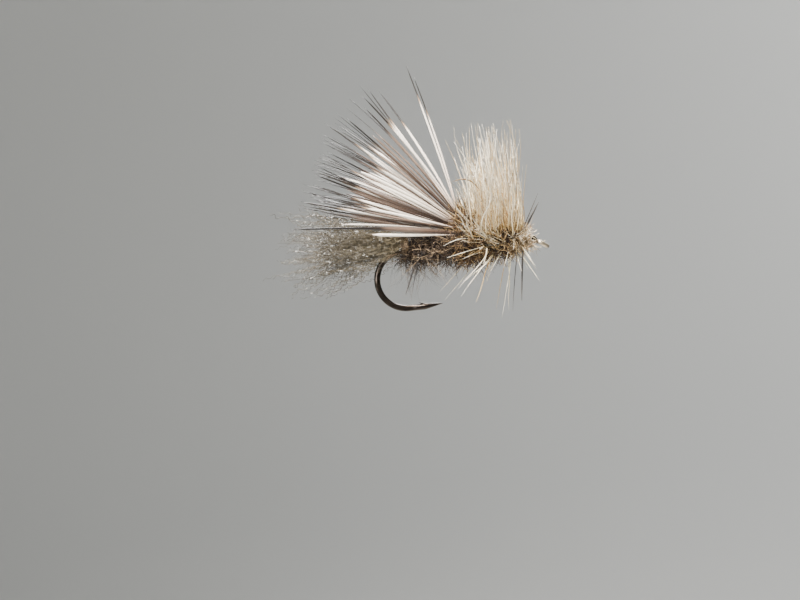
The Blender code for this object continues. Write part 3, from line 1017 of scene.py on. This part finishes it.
# The lowest and highest values of the same for the hairs that lie there at random.
LYING_SPREAD = ((0.1, 1.15), (-0.9, 0.7), (0.9, 2.4), (0.2, 1.7), (-0.1, 0.4), (0.2, 1.0))
LYING_EXTRA = 26
CROSSING_SIZES = (0.014, 0.028, 0.034, 0.028, 0.01)
SPARSE_SIZES = (0.02, 0.03, 0.032, 0.024, 0.008)


def crossing_hairs(rng):
    """The hairs of CROSSING."""
    share, turn, tilt, reach = np.array(CROSSING).T
    shades = rng.uniform(0.75, 1.0, len(share))
    return radiate(rng, share, np.radians(turn), np.radians(tilt), reach, CROSSING_SIZES, 0.3, shades)


def lying_hairs(rng):
    """The hairs of LYING, and LYING_EXTRA more within LYING_SPREAD."""
    lowest, highest = np.array(LYING_SPREAD).T
    chance = rng.uniform(lowest, highest, (LYING_EXTRA, len(lowest)))
    share, height, back, above, arch, shades = np.vstack((LYING, chance)).T
    steps = 16
    roots = xyz(mix(*HACKLE, share), -(1.0 + 0.35 * height) * MM, SHANK_Z + height * MM)
    chord = xyz(-back, -0.3 * np.hypot(back, above) - 0.2, above)
    lift = xyz(0, 0, arch)
    way, length = unit(chord), np.linalg.norm(chord, axis=1) * MM
    paths = grow(roots, unit(way + lift), unit(way - lift), length, steps, 1.0)
    dark = shades < 0.1
    stoutness = rng.uniform(0.85, 1.2, len(share)) * np.where(dark, 1.7, 1.0)
    radii = stoutness[:, None] * taper(steps, *CROSSING_SIZES)
    return Strands(paths, radii, 5, shades=shades)


def sparse_hairs(rng, share, angle, lean, length):
    """The few hairs of a lock under the body, pale and dark."""
    count = 3
    turn = np.radians(angle + rng.normal(0, 5.0, count))
    tilt = np.radians(lean + rng.normal(0, 5.0, count))
    reach = length * rng.uniform(0.6, 1.05, count)
    place = share + rng.normal(0, 0.05, count)
    shades = rng.uniform(0.1, 1.0, count)
    return radiate(rng, place, turn, tilt, reach, SPARSE_SIZES, 0.2, shades)


def build_hackle(look):
    for node, share, angle, lean, length in hackle_locks():
        rng = seeded(node)
        below = abs(angle) > 120
        if below:
            groups = [sparse_hairs(rng, share, angle, lean, length)]
        else:
            groups = standing_hairs(rng, share, angle, length)
        if angle == NEAR_LOCK:
            groups += [crossing_hairs(rng), lying_hairs(rng)]
        add_piece(node.replace("lock", "hair"), groups, look, node)


def build_rope(look):
    """The twisted loop: two strands round each other, wound up the shank."""
    seat, thickness, offset, strand_radius = 0.58 * MM, 0.16 * MM, 0.07 * MM, 0.085 * MM
    turns, twists, steps = 4, 30, 260
    share = np.linspace(0, 1, steps)
    angle = math.tau * turns * share
    strands = []
    for phase in (0.0, math.pi):
        twist = math.tau * twists * share + phase
        radius = seat + offset * np.cos(twist)
        x = mix(HACKLE[0] + thickness, HACKLE[1] - thickness, share) + offset * np.sin(twist)
        path = xyz(x, radius * np.sin(angle), SHANK_Z + radius * np.cos(angle))
        strands.append(Strands(path[None], np.full((1, steps), strand_radius), 7))
    add_piece("hackle_rope", strands, look, "hackle_loop_rope")


def build_underfur(fur, felt):
    """The underfur that is twisted into the loop with the hair."""

    def girth(share):
        half = (0.98 + 0.08 * np.sin(math.pi * share)) * MM
        return half, half, SHANK_Z

    ends = HACKLE + np.array([-0.2, 0.3]) * MM
    rng = seeded("underfur fuzz")
    fibres = [
        fuzz(rng, 800, ends, girth, (0.9, 2.2), (0.0, 0.3), 0.028),
        fuzz(rng, 120, ends, girth, (1.2, 2.6), (0.2, 1.2), 0.018),
    ]
    core = noodle("underfur", ends, 5, girth, 0.3 * MM)
    names = "hackle_underfur_noodle", "hackle_underfur"
    add_dubbing(names, core, fibres, felt, fur, "hackle_loop_rope")


# -------- guard hairs


def build_guards(look):
    """One stout dark hair in each CAD node's place, with a finer one beside it."""
    steps = 14
    for node in ("guard_hair_head", "guard_hair_belly", "guard_hair_throat"):
        rng = seeded(node + " dark")
        low, high = (np.array(corner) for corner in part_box(node))
        root, tip = low, high
        if node != "guard_hair_head":
            root, tip = np.array([high[0], low[1], high[2]]), np.array([low[0], high[1], low[2]])
        way = np.tile(unit(tip - root), (2, 1))
        way[1] = unit(way[1] + rng.normal(0, 0.12, 3))
        roots = np.array([root, root + rng.normal(0, 0.3 * MM, 3)])
        length = np.linalg.norm(tip - root) * np.array([1.0, 1.3])
        paths = grow(roots, way, way, length, steps, bow=any_direction(rng, 2) * 0.2)
        radii = np.array([[1.0], [0.5]]) * taper(steps, 0.06, 0.075, 0.072, 0.06, 0.02)
        add_piece(f"{node}s", [Strands(paths, radii, 6)], look, node)


# -------- studio


def stage_material():
    made, tree, shader = new_material("studio_sweep")
    mottle = noise(tree, 0.004, 2.0)
    colour = ramp(tree, mottle, [(0.3, srgb(196, 196, 193)), (0.7, srgb(204, 204, 201))])
    feed(tree, shader.inputs, {"Base Color": colour, "Roughness": 0.9})
    return made


def build_stage():
    """A round pale sweep in metres: a floor that curves up all round into a wall, past the camera."""
    floor_z, hub, floor_radius, corner, top = -0.11, 0.001, 0.30, 0.25, 0.7
    profile = [(hub, floor_z), (floor_radius * 0.5, floor_z), (floor_radius, floor_z)]
    for angle in np.linspace(0, math.pi / 2, 14)[1:]:
        rise = corner * (1 - math.cos(angle))
        profile.append((floor_radius + corner * math.sin(angle), floor_z + rise))
    profile.append((floor_radius + corner, top))
    segments = 72
    points, faces = [], []
    for radius, z in profile:
        for k in range(segments):
            angle = math.tau * k / segments
            points.append((radius * math.cos(angle), radius * math.sin(angle), z))
    for i in range(len(profile) - 1):
        for k in range(segments):
            across = (k + 1) % segments
            near, far = i * segments, (i + 1) * segments
            faces.append((near + k, far + k, far + across, near + across))
    faces.append(tuple(range(segments)))
    mesh = bpy.data.meshes.new("studio_sweep")
    mesh.from_pydata(points, [], faces)
    mesh.shade_smooth()
    mesh.materials.append(stage_material())
    link("studio_sweep", mesh)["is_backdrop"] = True


def area_light(name, place, size, power, colour=(1, 1, 1), spread=math.pi, target=(0, 0, 6 * MM)):
    """A square soft light at place, aimed at target; a small spread keeps it off the backdrop."""
    data = bpy.data.lights.new(name, "AREA")
    data.size = size
    data.energy = power
    data.color = colour
    data.spread = spread
    lamp = bpy.data.objects.new(name, data)
    lamp.location = place
    lamp.rotation_euler = (Vector(place) - Vector(target)).to_track_quat("Z", "Y").to_euler()
    bpy.context.scene.collection.objects.link(lamp)


def build_lights():
    beam = math.radians(50)
    area_light("key", (-0.05, -0.20, 0.32), 0.09, 0.9, (1.0, 0.97, 0.93), beam)
    area_light("fill_front", (-0.25, -0.30, 0.06), 0.25, 0.4, (0.93, 0.96, 1.0), beam)
    area_light("rim", (0.10, 0.30, 0.28), 0.2, 0.4, (1, 1, 1), beam)
    area_light("ceiling", (0.0, 0.05, 0.62), 0.3, 0.5, (1, 1, 1), math.pi, (0.0, 0.06, 0.0))
    area_light("backdrop_front", (-0.06, -0.30, 0.16), 0.1, 0.5, (1, 1, 1), math.pi, (0.0, -0.55, 0.0))
    area_light("backdrop_right", (0.22, 0.34, 0.14), 0.05, 0.5, (1, 1, 1), math.pi, (0.15, 0.55, 0.08))
    world = bpy.data.worlds.new("studio_air")
    world.use_nodes = True
    background = world.node_tree.nodes["Background"]
    background.inputs["Color"].default_value = (0.8, 0.85, 0.9, 1)
    background.inputs["Strength"].default_value = 0.22
    bpy.context.scene.world = world


def build_camera():
    """Level with the hook and square to it, rolled so that the hook leans nose-up in the picture."""
    data = bpy.data.cameras.new("camera")
    data.sensor_width = 36.0
    data.lens = data.sensor_width * CAMERA_DISTANCE / (PICTURE_WIDTH * PIXEL)
    data.clip_start, data.clip_end = 0.01, 5.0
    camera = bpy.data.objects.new("camera", data)
    back = Vector((0, -math.cos(ELEVATION), math.sin(ELEVATION)))
    up = Vector((math.sin(ROLL), 0, math.cos(ROLL)))
    right = up.cross(back).normalized()
    up = back.cross(right).normalized()
    camera.matrix_world = Matrix.Translation(AIM + back * CAMERA_DISTANCE) @ Matrix(
        (right, up, back)
    ).transposed().to_4x4()
    bpy.context.scene.collection.objects.link(camera)
    bpy.context.scene.camera = camera


# The shades of each fur from its darkest fibres to its palest.
BODY_SHADES = ((18, 13, 10), (28, 21, 16), (42, 32, 24), (64, 50, 37), (98, 80, 60), (160, 138, 108))
THORAX_SHADES = ((26, 18, 12), (44, 31, 20), (74, 54, 33), (118, 90, 56), (186, 158, 112))
HEAD_SHADES = ((124, 96, 64), (176, 146, 104), (216, 193, 152), (238, 223, 192), (248, 239, 218))


def main():
    deer, hackle, yarn, guard = deer_material(), hackle_material(), shuck_material(), guard_material()
    steel, thread = steel_material(), thread_material()
    body_fur = fur_material("body_fur", BODY_SHADES)
    thorax_fur = fur_material("thorax_fur", THORAX_SHADES)
    head_fur = fur_material("head_fur", HEAD_SHADES)
    body_felt = felt_material("body_felt", srgb(18, 14, 11), srgb(42, 32, 24))
    thorax_felt = felt_material("thorax_felt", srgb(30, 22, 15), srgb(66, 50, 34))
    head_felt = felt_material("head_felt", srgb(70, 52, 34), srgb(130, 104, 72))
    build_hook(steel)
    build_thread(thread)
    build_cement(cement_material())
    build_abdomen(body_fur, body_felt)
    build_thorax(thorax_fur, thorax_felt)
    build_head(head_fur, head_felt)
    build_wing(deer)
    build_shuck(yarn)
    build_hackle(hackle)
    build_rope(thread)
    build_underfur(thorax_fur, body_felt)
    build_guards(guard)
    build_stage()
    build_lights()
    build_camera()


main()
boxes = {"cad": CAD_BOX, "visual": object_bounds()}
{key: [list(corner) for corner in box] for key, box in boxes.items()}
